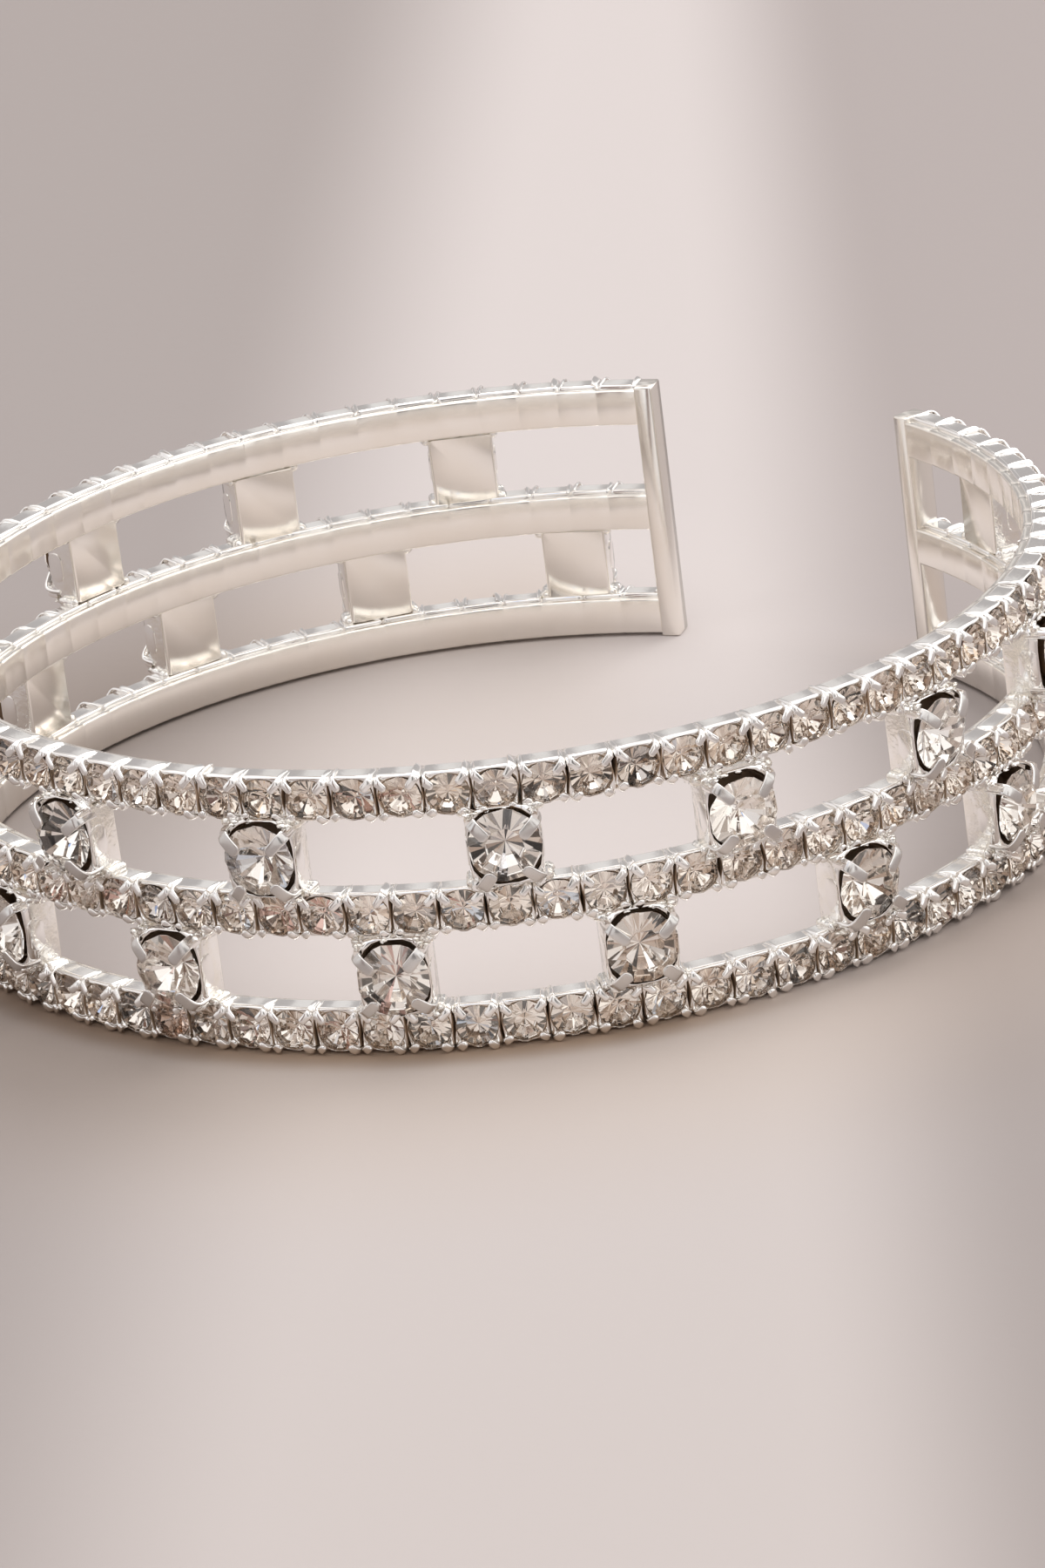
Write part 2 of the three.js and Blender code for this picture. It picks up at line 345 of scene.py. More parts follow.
side = distance_along(level)
depth = distance_along(away)
lit_paper = mix_colour(tree, smooth_step(tree, depth, -90.0, 70.0), NEAR_PAPER, FAR_PAPER)
band = multiply(tree, beyond(LEFT_EDGE, 1), beyond(RIGHT_EDGE, -1))
colour = mix_colour(tree, band, SHADED_PAPER, lit_paper)
print("band between, mm:", LEFT_EDGE["offset"], RIGHT_EDGE["offset"])

# %% [markdown]
# The silver throws some light back on the paper, most of it inside the cuff, and it's warmer than the
# light that comes directly. Where the two almost touch, a narrow brown contact shadow falls on the
# paper. Light comes and goes freely through the opening between the ends, so the paper behind it is
# lighter and not warmed. The cuff's left side stands in more shade and its right side in more light.
# Following all this with light paths would need far too many, so it's painted into the paper's colour
# too, as painted light and painted shade. Each has a share, which says where it lies, and a tint to
# multiply the colour by. out is how far from the oval's middle a place is, with 1 under the outer line
# of the cups, and side and depth are how many millimetres it lies to the right and away.

# %% Painted light and shade on the paper
# Painted warm light that the silver throws on the paper round the outside of the cuff.
WARM_THROWN_LIGHT_TINT = (1.0, 0.95, 0.885, 1)
# Painted light on the paper seen through the opening between the ends.
OPENING_LIGHT_TINT = (1.08, 1.08, 1.08, 1)
# Painted warmth of the light that the silver throws inside the far half of the cuff.
FAR_INSIDE_WARM_LIGHT_TINT = (0.985, 0.965, 0.935, 1)
# A narrow brown painted contact shadow where the cuff almost touches the paper.
CONTACT_SHADOW_TINT = (0.74, 0.615, 0.49, 1)
# Painted shade on the paper left of the cuff.
LEFT_SHADE_TINT = (0.87, 0.86, 0.85, 1)
# Painted light on the paper right of the cuff.
RIGHT_LIGHT_TINT = (1.17, 1.17, 1.17, 1)
# Painted light on the paper behind and right of the cuff, beyond the band's right edge.
FAR_RIGHT_LIGHT_TINT = (1.10, 1.10, 1.11, 1)
UNPAINTED = (1, 1, 1, 1)
THROWN_LIGHT = 0.14


def ramp(value, none_at, full_at):
    """A share of the paper: 0 where a value is none_at, and 1 where it's full_at."""
    return smooth_step(tree, value, none_at, full_at)


out_x = multiply(tree, distance_along(Vector((1, 0, 0))), 1 / OVAL_HALF_WIDTH)
out_y = multiply(tree, distance_along(Vector((0, 1, 0))), 1 / OVAL_HALF_DEPTH)
out_both = add_node(tree, "ShaderNodeCombineXYZ", {"X": out_x, "Y": out_y}).outputs[0]
out = add_node(tree, "ShaderNodeVectorMath", {0: out_both}, operation="LENGTH").outputs["Value"]
outside = ramp(out, 0.9, 1.05)
within = ramp(out, 1.0, 0.94)
nearby = ramp(out, 1.9, 1.0)
close_by = multiply(tree, ramp(out, 1.6, 1.1), outside)
contact_shadow = multiply(tree, ramp(out, 1.09, 1.01), ramp(out, 0.94, 0.98))
opening = multiply(tree, ramp(depth, 12.0, 26.0), ramp(side, 2.0, 9.0))
behind_right = multiply(tree, ramp(side, 2.0, 26.0), ramp(depth, -20.0, 20.0))
# Each: the share where a painted light or painted shade lies on the paper, and its tint.
for parts, tint in (
    ((nearby, outside, ramp(opening, 1.0, 0.0)), WARM_THROWN_LIGHT_TINT),
    ((nearby, opening, ramp(side, 22.0, 12.0)), OPENING_LIGHT_TINT),
    ((within, ramp(depth, -5.0, 20.0), ramp(side, 12.0, 2.0)), FAR_INSIDE_WARM_LIGHT_TINT),
    ((contact_shadow, ramp(depth, 12.0, -4.0), ramp(side, 17.0, 5.0)), CONTACT_SHADOW_TINT),
    ((close_by, ramp(side, -8.0, -22.0)), LEFT_SHADE_TINT),
    ((close_by, ramp(depth, 26.0, 10.0), ramp(side, 10.0, 25.0)), RIGHT_LIGHT_TINT),
    ((behind_right, beyond(RIGHT_EDGE, 1), outside), FAR_RIGHT_LIGHT_TINT),
):
    painted_tint = {0: colour, 1: mix_colour(tree, multiply(tree, *parts), UNPAINTED, tint)}
    colour = add_node(tree, "ShaderNodeVectorMath", painted_tint, operation="MULTIPLY").outputs[0]

thrown = multiply(tree, within, ramp(depth, 24.0, -22.0), THROWN_LIGHT)
gain = add_node(tree, "ShaderNodeMath", {0: thrown, 1: 1.0}, operation="ADD").outputs[0]
brightened = {0: colour, "Scale": gain}
colour = add_node(tree, "ShaderNodeVectorMath", brightened, operation="SCALE").outputs[0]
fibre = add_node(tree, "ShaderNodeTexNoise", {"Vector": place, "Scale": 900.0, "Detail": 6.0}).outputs[0]
bump = add_node(tree, "ShaderNodeBump", {"Height": fibre, "Strength": 0.12, "Distance": 0.0002})
surface = {"Base Color": colour, "Roughness": 0.75, "Normal": bump.outputs[0]}
cover = add_node(tree, "ShaderNodeBsdfPrincipled", surface)
add_node(tree, "ShaderNodeOutputMaterial", {"Surface": cover.outputs[0]})
print("the paper has", len(tree.nodes), "nodes")

# %% [markdown]
# ## The lamps
# Two large soft lamps light it: the key stands on the right and a little behind, so the shadow falls
# forward and to the left, and the other hangs overhead.

# %% Lamps
LAMP_COLOUR = (1.0, 0.985, 0.975)


def soft_lamp(name, facing, distance, size, energy):
    """A round area lamp at a distance from the cuff in a direction, aimed at it. In metres."""
    data = bpy.data.lights.new(name, "AREA")
    data.shape = "DISK"
    data.size = size
    data.energy = energy
    data.color = LAMP_COLOUR
    lamp = bpy.data.objects.new(name, data)
    bpy.context.scene.collection.objects.link(lamp)
    turn_to = facing.to_track_quat("Z", "Y").to_matrix().to_4x4()
    lamp.matrix_world = Matrix.Translation(facing * distance) @ turn_to
    print(name, "at, mm:", [round(c / MM) for c in lamp.matrix_world.translation])


soft_lamp("key_lamp", towards(CAMERA_AZIMUTH + 122, 48), distance=1.2, size=0.7, energy=2.1)
soft_lamp("overhead_lamp", towards(CAMERA_AZIMUTH + 170, 82), distance=1.1, size=0.45, energy=1.6)

# %% [markdown]
# ## Finishes
# The metal is brass with a bright silver plate. Plate isn't a perfect mirror: it follows the slightly
# wavy stamped metal under it, so its roughness and a low bump both come from noise about half a
# millimetre across. One recipe makes every metal here, and only its numbers change. The claws are
# pressed smooth, and the middle of a large claw is painted a little greyer, as painted shade. The inner
# bands are worn duller by the wrist, and solder is lumpy and a shade yellower. Inside the cups and
# between them the metal is painted dark brown, as painted shade. The lacquer that covers the foil of a
# stone is brown too.

# %% Metal finishes
def metal_finish(name, bright, dull, smooth, rough, wave, bump_height, metallic=1.0):
    """A metal whose colour and roughness wander between two values, in waves and bumps of so many mm."""
    material = bpy.data.materials.new(name)
    material.use_nodes = True
    tree = material.node_tree
    tree.nodes.clear()
    place = add_node(tree, "ShaderNodeTexCoord").outputs["Object"]
    fine = {"Vector": place, "Scale": 1 / (wave * MM), "Detail": 2.0}
    waves = add_node(tree, "ShaderNodeTexNoise", fine).outputs[0]
    coarse = {"Vector": place, "Scale": 0.3 / (wave * MM), "Detail": 3.0}
    patches = add_node(tree, "ShaderNodeTexNoise", coarse).outputs[0]
    colour = mix_colour(tree, smooth_step(tree, patches, 0.35, 0.7), (*bright, 1), (*dull, 1))
    spread = {"Value": patches, "From Min": 0.3, "From Max": 0.75, "To Min": smooth, "To Max": rough}
    roughness = add_node(tree, "ShaderNodeMapRange", spread).outputs[0]
    relief = {"Height": waves, "Strength": 1.0, "Distance": bump_height * MM}
    bump = add_node(tree, "ShaderNodeBump", relief).outputs[0]
    surface = {"Base Color": colour, "Metallic": metallic, "Roughness": roughness, "Normal": bump}
    shader = add_node(tree, "ShaderNodeBsdfPrincipled", surface)
    add_node(tree, "ShaderNodeOutputMaterial", {"Surface": shader.outputs[0]})
    return material


# Each: bright colour, dull colour, least and greatest roughness, wave, bump, and metallic if under 1.
METALS = {
    "bright_silver": ((0.97, 0.96, 0.945), (0.94, 0.92, 0.895), 0.09, 0.17, 0.55, 0.007),
    "claw_silver": ((0.98, 0.97, 0.955), (0.955, 0.94, 0.92), 0.11, 0.19, 0.5, 0.005),
    "worn_silver": ((0.965, 0.935, 0.885), (0.955, 0.915, 0.855), 0.17, 0.26, 0.9, 0.004),
    "solder_silver": ((0.975, 0.965, 0.945), (0.95, 0.92, 0.86), 0.12, 0.26, 0.30, 0.04),
    # Painted shade, dark brown, for the insides of the cups and the walls beside the slits.
    "shaded_inside": ((0.56, 0.42, 0.30), (0.33, 0.24, 0.165), 0.35, 0.6, 0.5, 0.01, 0.4),
    # A greyer copy of the claw metal, as painted shade on the middle of a large claw.
    "claw_shaded_middle": ((0.74, 0.725, 0.71), (0.66, 0.64, 0.62), 0.18, 0.28, 0.5, 0.004),
    "brown_lacquer": ((0.22, 0.13, 0.07), (0.13, 0.08, 0.05), 0.25, 0.45, 0.6, 0.01, 0.5),
}
metals = {name: metal_finish(name, *numbers) for name, numbers in METALS.items()}
print("metal finishes:", list(metals))

# %% [markdown]
# A rhinestone is clear glass with a foil mirror on its pointed back. Light goes in through the
# crown, bounces between the foil facets and comes out again, so the glass has to refract and the
# foil has to reflect, each on its own faces. Real glass splits light into colours, which takes very
# long to follow. Here each facet has a tint of its own instead, stored on the mesh.

# %% Glass and foil
TINT = "facet_tint"


def tinted_finish(name, **values):
    """A finish that takes its colour from the mesh, and the shader's other values as given."""
    material = bpy.data.materials.new(name)
    material.use_nodes = True
    tree = material.node_tree
    tree.nodes.clear()
    tint = add_node(tree, "ShaderNodeAttribute", attribute_name=TINT).outputs["Color"]
    settings = {key.replace("_", " "): value for key, value in values.items()}
    shader = add_node(tree, "ShaderNodeBsdfPrincipled", {"Base Color": tint, **settings})
    add_node(tree, "ShaderNodeOutputMaterial", {"Surface": shader.outputs[0]})
    return material


cut_glass = tinted_finish("cut_glass", Roughness=0.0, IOR=1.56, Transmission_Weight=1.0)
foil_mirror = tinted_finish("foil_mirror", Roughness=0.05, Metallic=1.0)
print("stone finishes:", cut_glass.name, foil_mirror.name)

# %% [markdown]
# ## Making shapes
# A shape is a list of corners, a list of faces, and a finish number with a tint for every face. Plain
# lists are quick to copy and bend, and only become a mesh once a whole piece has been put together.

# %% A shape
WHITE = (1.0, 1.0, 1.0)


class Shape:
    """Corners, faces, and each face's finish and tint."""

    def __init__(self):
        self.corners = []
        self.faces = []
        self.finishes = []
        self.tints = []

    def add(self, corners, faces, finish=0, tints=None):
        """Adds corners and faces, with one finish for all the faces or a list of them."""
        start = len(self.corners)
        self.corners.extend(map(tuple, corners))
        self.faces.extend(tuple(start + i for i in face) for face in faces)
        self.finishes.extend([finish] * len(faces) if isinstance(finish, int) else finish)
        self.tints.extend(tints or [WHITE] * len(faces))
        return self

    def add_shape(self, other, matrix):
        """Adds a copy of another shape, put in place by a matrix."""
        corners = np.array(other.corners) @ matrix[:3, :3].T + matrix[:3, 3]
        return self.add(corners, other.faces, list(other.finishes), list(other.tints))


def moved(x, y, z=0.0):
    """The matrix that moves a shape without turning it."""
    place = np.eye(4)
    place[:3, 3] = (x, y, z)
    return place


square = Shape().add([(0, 0, 0), (1, 0, 0), (1, 1, 0), (0, 1, 0)], [(0, 1, 2, 3)])
print("a square moved along by 5 has corners:", Shape().add_shape(square, moved(5, 0)).corners)

# %% [markdown]
# Two ways of making a shape are enough for all the metal. A loft joins outlines one after the other:
# that is a stamped cup, from its back up over the rim and down inside. A strip sweeps a flat rounded
# section along a bent path, which is just what a claw is.

# %% Lofts
def loft_faces(rings, count):
    """The faces that join rings of so many corners each, closed at both ends."""
    faces = []
    for ring in range(rings - 1):
        here, after = ring * count, (ring + 1) * count
        for i in range(count):
            j = (i + 1) % count
            faces.append((here + i, here + j, after + j, after + i))
    faces.append(tuple(range(count))[::-1])
    faces.append(tuple((rings - 1) * count + i for i in range(count)))
    return faces


def rounded(half_x, half_y, radius, steps=3, extra=0):
    """The outline of a rectangle with rounded corners, counter-clockwise, and extra points on its
    two upright sides."""
    outline = []
    for quarter, (sx, sy) in enumerate(((1, 1), (-1, 1), (-1, -1), (1, -1))):
        for step in range(steps + 1):
            angle = math.radians(90 * (quarter + step / steps))
            x = sx * (half_x - radius) + radius * math.cos(angle)
            outline.append((x, sy * (half_y - radius) + radius * math.sin(angle)))
        for part in range(extra if sx * sy < 0 else 0):
            outline.append((sx * half_x, sy * (half_y - radius) * (1 - 2 * (part + 1) / (extra + 1))))
    return np.array(outline)


def loft(levels, finish_of_ring=None, steps=3, extra=0):
    """Joins rounded rectangles, each (half_x, half_y, radius, height), from back to front."""
    corners = []
    for half_x, half_y, radius, level in levels:
        outline = rounded(half_x, half_y, radius, steps, extra)
        corners.extend((x, y, level) for x, y in outline)
    count = 4 * (steps + 1) + 2 * extra
    faces = loft_faces(len(levels), count)
    rings = [ring for ring in range(len(levels) - 1) for _ in range(count)] + [0, len(levels) - 2]
    finishes = [finish_of_ring[r] for r in rings] if finish_of_ring else 0
    return Shape().add(corners, faces, finishes)


print("a rounded outline has", len(rounded(1, 1, 0.2)), "points")


# %% Strips
def softly_square(waves, squareness):
    """A sine or cosine with its humps made squarer."""
    return np.copysign(np.abs(waves) ** squareness, waves) / 2


def strip(path, widths, thickness, heading, finishes, sides=10, squareness=0.55):
    """Sweeps a flat rounded section along a path of (distance from the axis, height).
    finishes are for its edges and for the middle of its face."""
    path = np.array(path, float)
    tangents = np.gradient(path, axis=0)
    tangents /= np.linalg.norm(tangents, axis=1)[:, None]
    outwards = np.array([heading[0], heading[1], 0.0])
    outwards /= np.linalg.norm(outwards)
    across = np.array([-outwards[1], outwards[0], 0.0])
    upwards = np.array([0.0, 0.0, 1.0])
    around = 2 * math.pi * (np.arange(sides) + 0.5) / sides
    wide = softly_square(np.cos(around), squareness)
    high = softly_square(np.sin(around), squareness)
    centres = path[:, :1] * outwards + path[:, 1:] * upwards
    normals = tangents[:, 1:] * outwards - tangents[:, :1] * upwards
    sideways = np.outer(widths, wide)[:, :, None] * across
    corners = centres[:, None] + sideways + np.outer(thickness, high)[:, :, None] * normals[:, None]
    facing_out = [i for i in range(sides) if high[i] > 0 and high[(i + 1) % sides] > 0]
    middle = facing_out[1:-1]
    of_face = [finishes[i % sides in middle] for i in range(sides * (len(path) - 1))]
    of_face += [finishes[0]] * 2
    return Shape().add(corners.reshape(-1, 3), loft_faces(len(path), sides), of_face)


straight = strip([(0, 0), (1, 0)], [1, 1], [1, 1], (1, 0), (0, 0))
print("a straight strip has", len(straight.faces), "faces")

# %% [markdown]
# Each part is made in its own millimetres: x along the row, y up and z outward. A matrix then takes
# it to its station on the oval, in metres. The same matrix can tip and turn it a little on the way,
# because nothing soldered by hand is quite straight.

# %% Onto the oval, and into Blender
def on_oval(stones, height, spin=0.0, tilt=(0.0, 0.0), shift=(0.0, 0.0, 0.0)):
    """A matrix from a part's own millimetres (along, up, outward) to the shared frame in metres."""
    point, along, outward = station(stones)
    upward = np.array([0, 0, 1.0])
    tipping = Matrix.Rotation(tilt[0], 3, "X") @ Matrix.Rotation(tilt[1], 3, "Y")
    turning = tipping @ Matrix.Rotation(spin, 3, "Z")
    base = np.column_stack([along, upward, outward])
    matrix = np.eye(4)
    matrix[:3, :3] = base @ np.array(turning) * MM
    matrix[:3, 3] = (oval_middle + point + base @ np.array(shift) + upward * height) * MM
    return matrix


def make_piece(name, shape, finishes, node, smooth_under=None):
    """Makes one Blender piece from a shape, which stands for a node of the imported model.
    Edges flatter than smooth_under degrees are smoothed."""
    mesh = bpy.data.meshes.new(name)
    mesh.from_pydata(shape.corners, [], shape.faces)
    for finish in finishes:
        mesh.materials.append(finish)
    mesh.polygons.foreach_set("material_index", shape.finishes)
    if any(tint is not WHITE for tint in shape.tints):
        layer = mesh.color_attributes.new(TINT, "FLOAT_COLOR", "CORNER")
        sizes = [len(face) for face in shape.faces]
        colours = np.repeat(np.array([(*tint, 1.0) for tint in shape.tints]), sizes, axis=0)
        layer.data.foreach_set("color", colours.ravel())
    if smooth_under is None:
        mesh.shade_flat()
    else:
        mesh.shade_smooth()
        mesh.set_sharp_from_angle(angle=math.radians(smooth_under))
    piece = bpy.data.objects.new(name, mesh)
    bpy.context.scene.collection.objects.link(piece)
    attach(piece, "root")
    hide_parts(node)
    print(f"{name}: {sum(len(face) - 2 for face in shape.faces)} triangles")


# The finish of the cups' insides is painted shade, and so is the greyer finish of a large claw's middle.
METAL, SHADED_INSIDE, WORN, SOLDERED, CLAW, CLAW_SHADED_MIDDLE = range(6)
SILVERS = [
    metals["bright_silver"],
    metals["shaded_inside"],
    metals["worn_silver"],
    metals["solder_silver"],
    metals["claw_silver"],
    metals["claw_shaded_middle"],
]


def make_silver_piece(name, shape, smooth_under):
    """Makes a piece of the frame's metal."""
    make_piece(name, shape, SILVERS, "cuff_frame", smooth_under)


print("the first stone stands at, mm:", [round(c / MM, 2) for c in on_oval(0.5, 0)[:3, 3]])

# %% [markdown]
# ## A cut stone
# Both sizes have the same simple machine cut: an eight-sided table with eight broad facets round
# it and a narrow one at each of its corners, and behind them eight broad and eight narrow wedges
# that all run to one point. Through the table those sixteen wedges show as a star. Most facets are
# nearly colourless, but no two quite alike, and a few in every stone flash brown, grey or, more
# rarely, orange, maroon or blue. So each wedge draws its tint by chance, and each crown facet a
# shade. A brown shell just behind the foil is the lacquer that protects it.

# %% Cut stone
GLASS, FOIL, LACQUER = range(3)
PLAIN_TINTS = [(1.0, 0.99, 0.975), (0.985, 0.97, 0.955), (0.95, 0.93, 0.91), (0.88, 0.855, 0.83)]
RARE_TINTS = {
    "brown": (0.66, 0.57, 0.50),
    "grey": (0.58, 0.57, 0.58),
    "orange": (0.90, 0.78, 0.66),
    "maroon": (0.68, 0.49, 0.45),
    "blue": (0.72, 0.82, 0.96),
}
RARE_WEIGHTS = [4, 6, 1, 1, 1]
CROWN_SHADES = [1.0, 1.0, 0.96, 0.90]
# A dark wedge is painted nearly black, as a painted reflection of the dark things in the room.
DARK_REFLECTION_TINT = (0.16, 0.155, 0.155)
NARROW = math.radians(7.0)
SHELL = 1.02


def wedge_tint(rare, dark, draw):
    """The tint of one foil wedge: rare and dark are the chances of an odd colour and of a dark one."""
    luck = draw.random()
    if luck < dark:
        return DARK_REFLECTION_TINT
    if luck < dark + rare:
        return draw.choices(list(RARE_TINTS.values()), RARE_WEIGHTS)[0]
    return draw.choice(PLAIN_TINTS)


def cut_stone(radius, table, crown, girdle, pavilion, rare, dark, draw):
    """A stone with its girdle at height 0: its radius, its table's radius, the heights of crown,
    girdle and pavilion, and the chances of a rare and of a dark wedge."""
    angles = [2 * math.pi * i / 8 + side * NARROW for i in range(8) for side in (-1, 1)]

    def ring(r, z, bearings):
        return [(r * math.cos(a), r * math.sin(a), z) for a in bearings]

    corners = ring(table, crown + girdle / 2, [2 * math.pi * i / 8 for i in range(8)])
    corners += ring(radius, girdle / 2, angles) + ring(radius, -girdle / 2, angles)
    corners.append((0, 0, -pavilion - girdle / 2))
    over, under, point = 8, 24, 40
    glass, foil = [tuple(range(8))], []
    for i in range(8):
        low, high, after = 2 * i, 2 * i + 1, (2 * i + 2) % 16
        glass.append((i, over + low, over + high))
        glass.append((i, over + high, over + after, (i + 1) % 8))
        foil.append((point, under + high, under + low))
        foil.append((point, under + after, under + high))
    for i in range(16):
        j = (i + 1) % 16
        glass.append((under + i, under + j, over + j, over + i))
    shape = Shape()
    warmth = draw.uniform(0.0, 1.0)
    clear = (1.0, 1.0 - 0.012 * warmth, 1.0 - 0.03 * warmth)
    shades = [1.0] + [draw.choice(CROWN_SHADES) for _ in glass[1:]]
    tints = [tuple(shade * part for part in clear) for shade in shades]
    tints += [wedge_tint(rare, dark, draw) for _ in foil]
    shape.add(corners, glass + foil, [GLASS] * len(glass) + [FOIL] * len(foil), tints)
    behind = [(x * 0.995, y * 0.995, z * SHELL - 0.012 * radius) for x, y, z in corners]
    shape.add(behind, foil, LACQUER, [WHITE] * len(foil))
    return shape


STONE_FINISHES = [cut_glass, foil_mirror, metals["brown_lacquer"]]
trial_stone = cut_stone(1.0, 0.5, 0.3, 0.04, 0.7, 0.1, 0.0, random.Random(1))
print("a stone has", len(trial_stone.faces), "faces")

# %% [markdown]
# ## The small cups
# Each small cup is a square box stamped from thin sheet. Its front edge is rounded over, and that
# edge is the bright line seen between the claws. The lower wall is the shortest, and hides behind the
# stone, so that along its lower edge a row shows only stones and claws. The sides of neighbouring
# cups almost touch, with a slit between, and the walls either side of it are painted dark brown, as
# painted shade.
#
# A loft makes the cup in one piece, thirteen outlines from its back over the rim and down inside. One
# cup copied 216 times would look cast, not stamped. So each copy's side walls are dented a little.

# %% A small cup
ROW_HEIGHT = 2.45
CUP_HALF_WIDTH = 1.155
CUP_BACK = -1.22
LOWER_WALL_UP = 0.12
SLIT_HALF_HEIGHT = 0.8
DENT_LEAN = 0.04
DENT_WAVE = (0.02, 0.08)
DENT_BENDS = 3.2


def shade_slit_walls(shape, half_x):
    """Gives the walls that face the next cup, with their front edges, the finish of painted shade."""
    for i, face in enumerate(shape.faces):
        heights = [shape.corners[c][1] for c in face]
        beside = all(abs(shape.corners[c][0]) > half_x - 0.09 for c in face)
        if beside and abs(np.mean(heights)) < SLIT_HALF_HEIGHT:
            shape.finishes[i] = SHADED_INSIDE


def dented(shape, half_x, draw):
    """The same cup with its side walls knocked a few hundredths of a millimetre out of true."""
    corners = np.array(shape.corners)
    for side in (-1, 1):
        lean = draw.gauss(0, DENT_LEAN)
        wave = draw.uniform(*DENT_WAVE)
        phase = draw.uniform(0, 2 * math.pi)
        share = np.clip((side * corners[:, 0] - 0.5) / (half_x - 0.5), 0, 1) ** 2
        push = lean * corners[:, 1] + wave * np.sin(DENT_BENDS * corners[:, 1] + phase)
        corners[:, 0] += side * share * push
    return Shape().add(corners, shape.faces, shape.finishes)


def small_cup():
    """A cup round the origin, open to the front."""
    half_x, half_y = CUP_HALF_WIDTH, ROW_HEIGHT / 2
    cup = loft(
        [
            (half_x - 0.12, half_y - 0.14, 0.2, CUP_BACK),
            (half_x - 0.03, half_y - 0.04, 0.16, CUP_BACK + 0.04),
            (half_x, half_y, 0.14, CUP_BACK + 0.16),
            (half_x, half_y, 0.14, CUP_BACK + 0.2),
            (half_x, half_y, 0.14, -0.28),
            (half_x, half_y, 0.14, -0.24),
            (half_x, half_y - 0.015, 0.15, -0.15),
            (half_x - 0.01, half_y - 0.045, 0.2, -0.07),
            (half_x - 0.03, half_y - 0.085, 0.4, -0.015),
            (half_x - 0.06, half_y - 0.115, 0.9, 0.0),
            (half_x - 0.08, half_y - 0.13, 1.06, -0.03),
            (half_x - 0.085, half_y - 0.135, 1.06, -0.12),
            (half_x - 0.085, half_y - 0.135, 1.06, -0.95),
        ],
        # The three rings inside the cup carry painted shade.
        [METAL] * 9 + [SHADED_INSIDE] * 3,
        steps=4,
        extra=4,
    )
    cup.corners = [(x, y + LOWER_WALL_UP if y < 0 else y, z) for x, y, z in cup.corners]
    shade_slit_walls(cup, half_x)
    return cup


cup = small_cup()
print("a small cup has", len(cup.faces), "faces,", cup.finishes.count(SHADED_INSIDE), "of them dark")

# %% [markdown]
# Behind the cups of a row runs one smooth band, which is all that the wrist feels. It's a rounded
# section swept round the oval, nipped in a little where two cups meet, as the real one is.

# %% The inner band
ROW_SPACING = 6.25
ROW_NAMES = ["lower_row", "middle_row", "upper_row"]
BAND_BACK = -1.68
BAND_HALF_HEIGHT = 1.04
BAND_NIP = 0.975


def row_height(row):
    """How high the middle of a row is. Row 0.5 is the gap between rows 0 and 1."""
    return ROW_HEIGHT / 2 + ROW_SPACING * row


def inner_band(height):
    """The band behind one row, in the shared frame."""
    section = rounded((CUP_BACK - BAND_BACK) / 2 + 0.06, BAND_HALF_HEIGHT, 0.14, 2)
    middle_out = (CUP_BACK + BAND_BACK) / 2 + 0.06
    corners = []
    places = [cup + part for cup in range(STONES_PER_ROW) for part in (0.0, 0.03, 0.35, 0.65, 0.97)]
    places.append(float(STONES_PER_ROW))
    for stones in places:
        nip = BAND_NIP if stones == int(stones) else 1.0
        point, along, outward = station(stones)
        for out, up_by in section:
            corner = oval_middle + point + outward * (middle_out + out * nip)
            corners.append((corner + np.array([0, 0, height + up_by * nip])) * MM)
    return Shape().add(corners, loft_faces(len(places), len(section)), WORN)


print("rows stand at, mm:", [round(row_height(row), 3) for row in range(3)])

# %% [markdown]
# Where each cup stands is drawn once and kept, because its claws and its stone have to stand in the
# same place. All chance comes from seeded draws, so the bracelet is the same every time.

# %% Set out the cups
CUP_TIPS = 0.012
CUP_TURNS = 0.02
CUP_STANDS_OUT = 0.02
draw = random.Random(7)
cup_places = {
    row: [
        dict(
            stones=index + 0.5,
            height=row_height(row),
            tilt=(draw.uniform(-CUP_TIPS, CUP_TIPS), draw.uniform(-CUP_TURNS, CUP_TURNS)),
            shift=(0.0, 0.0, draw.uniform(-CUP_STANDS_OUT, CUP_STANDS_OUT)),
        )
        for index in range(STONES_PER_ROW)
    ]
    for row in range(3)
}
dents = random.Random(11)
for row, row_name in enumerate(ROW_NAMES):
    shape = inner_band(row_height(row))
    for where in cup_places[row]:
        shape.add_shape(dented(cup, CUP_HALF_WIDTH, dents), on_oval(**where))
    make_silver_piece(f"{row_name}_cups", shape, 50)

# %% [markdown]
# ## The small claws
# A claw is the cup's corner, cut free and pressed over the stone. It comes up out of the cup,
# bends just outside the girdle and lies flat on the crown, and its end is rounded. The upper two
# are straps that run along the whole corner of the cup, broadest at their root, and stand a little
# proud of its top. The lower two are shorter. Where neighbouring claws meet they are pressed flat
# against each other, so no corner of one goes past the middle between two cups.
#
# A claw's path needs only a few knees. They're joined in short steps, and the joins are smoothed.

# %% The path of a claw
TIP_STEPS = np.array([0.93, 0.75, 0.45, 0.2, 0.05])
PRESSED_FROM = 0.8


def round_end(walked, width, end):
    """The strip's width at each distance walked, closing in a half circle at the end."""
    left = walked[-1] - walked
    return width * np.sqrt(np.clip(1 - np.clip(1 - left / end, 0, 1) ** 2, 0.02, 1))


